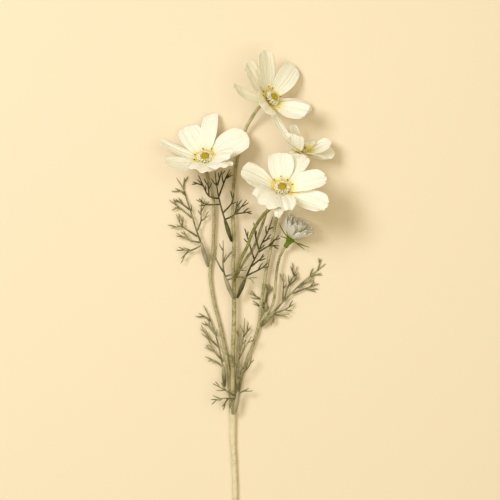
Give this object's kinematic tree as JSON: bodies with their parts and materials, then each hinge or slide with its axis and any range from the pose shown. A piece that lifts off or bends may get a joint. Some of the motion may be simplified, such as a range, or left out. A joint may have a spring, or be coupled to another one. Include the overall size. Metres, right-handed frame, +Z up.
{
  "type": "artificial cosmos flower spray",
  "caption": "Artificial cosmos spray lying flat: taped stem with branches, open white blossoms, a half-open bud and feathery leaves.",
  "frame": {"origin": "bottom centre of the bounding box, on the surface the spray lies on", "axes": "+Y along the stem from the cut end to the blossoms, +Z up from the surface, +X to the right seen from above with the blossoms away"},
  "size_m": [0.1474, 0.5292, 0.0808],
  "materials": {
    "stem_tape": "matte green-beige floral tape wound over wire",
    "fork_plastic": "olive moulded stem",
    "leaf": "flocked dark grey-green",
    "petal": "creamy white woven polyester with pressed veins",
    "calyx": "green moulded plastic",
    "flower_center": "olive-yellow rough disc with white stamens"
  },
  "bodies": {
    "root": {"bud_calyx": "calyx", "bud_fork_leaf": "leaf", "bud_petals": "petal", "bud_stem": "stem_tape", "center_branch": "stem_tape", "center_calyx": "calyx", "center_flower_center": "flower_center", "center_petal_1": "petal", "center_petal_2": "petal", "center_petal_3": "petal", "center_petal_4": "petal", "center_petal_5": "petal", "center_petal_6": "petal", "center_petal_7": "petal", "center_petal_8": "petal", "far_right_leaf": "leaf", "fork_stem": "fork_plastic", "left_branch": "stem_tape", "left_calyx": "calyx", "left_flower_center": "flower_center", "left_petal_1": "petal", "left_petal_2": "petal", "left_petal_3": "petal", "left_petal_4": "petal", "left_petal_5": "petal", "left_petal_6": "petal", "left_petal_7": "petal", "left_petal_8": "petal", "lower_front_leaf": "leaf", "lower_left_leaf": "leaf", "lower_right_leaf": "leaf", "lower_stem": "stem_tape", "middle_left_leaf": "leaf", "middle_right_leaf": "leaf", "right_branch": "stem_tape", "side_calyx": "calyx", "side_flower_center": "flower_center", "side_petal_1": "petal", "side_petal_2": "petal", "side_petal_3": "petal", "side_petal_4": "petal", "side_petal_5": "petal", "side_petal_6": "petal", "side_petal_7": "petal", "side_petal_8": "petal", "small_bud": "petal", "small_bud_stem": "stem_tape", "top_calyx": "calyx", "top_flower_center": "flower_center", "top_petal_1": "petal", "top_petal_2": "petal", "top_petal_3": "petal", "top_petal_4": "petal", "top_petal_5": "petal", "top_petal_6": "petal", "top_petal_7": "petal", "top_petal_8": "petal", "upper_left_leaf": "leaf", "upper_middle_leaf": "leaf"}
  },
  "joints": []
}
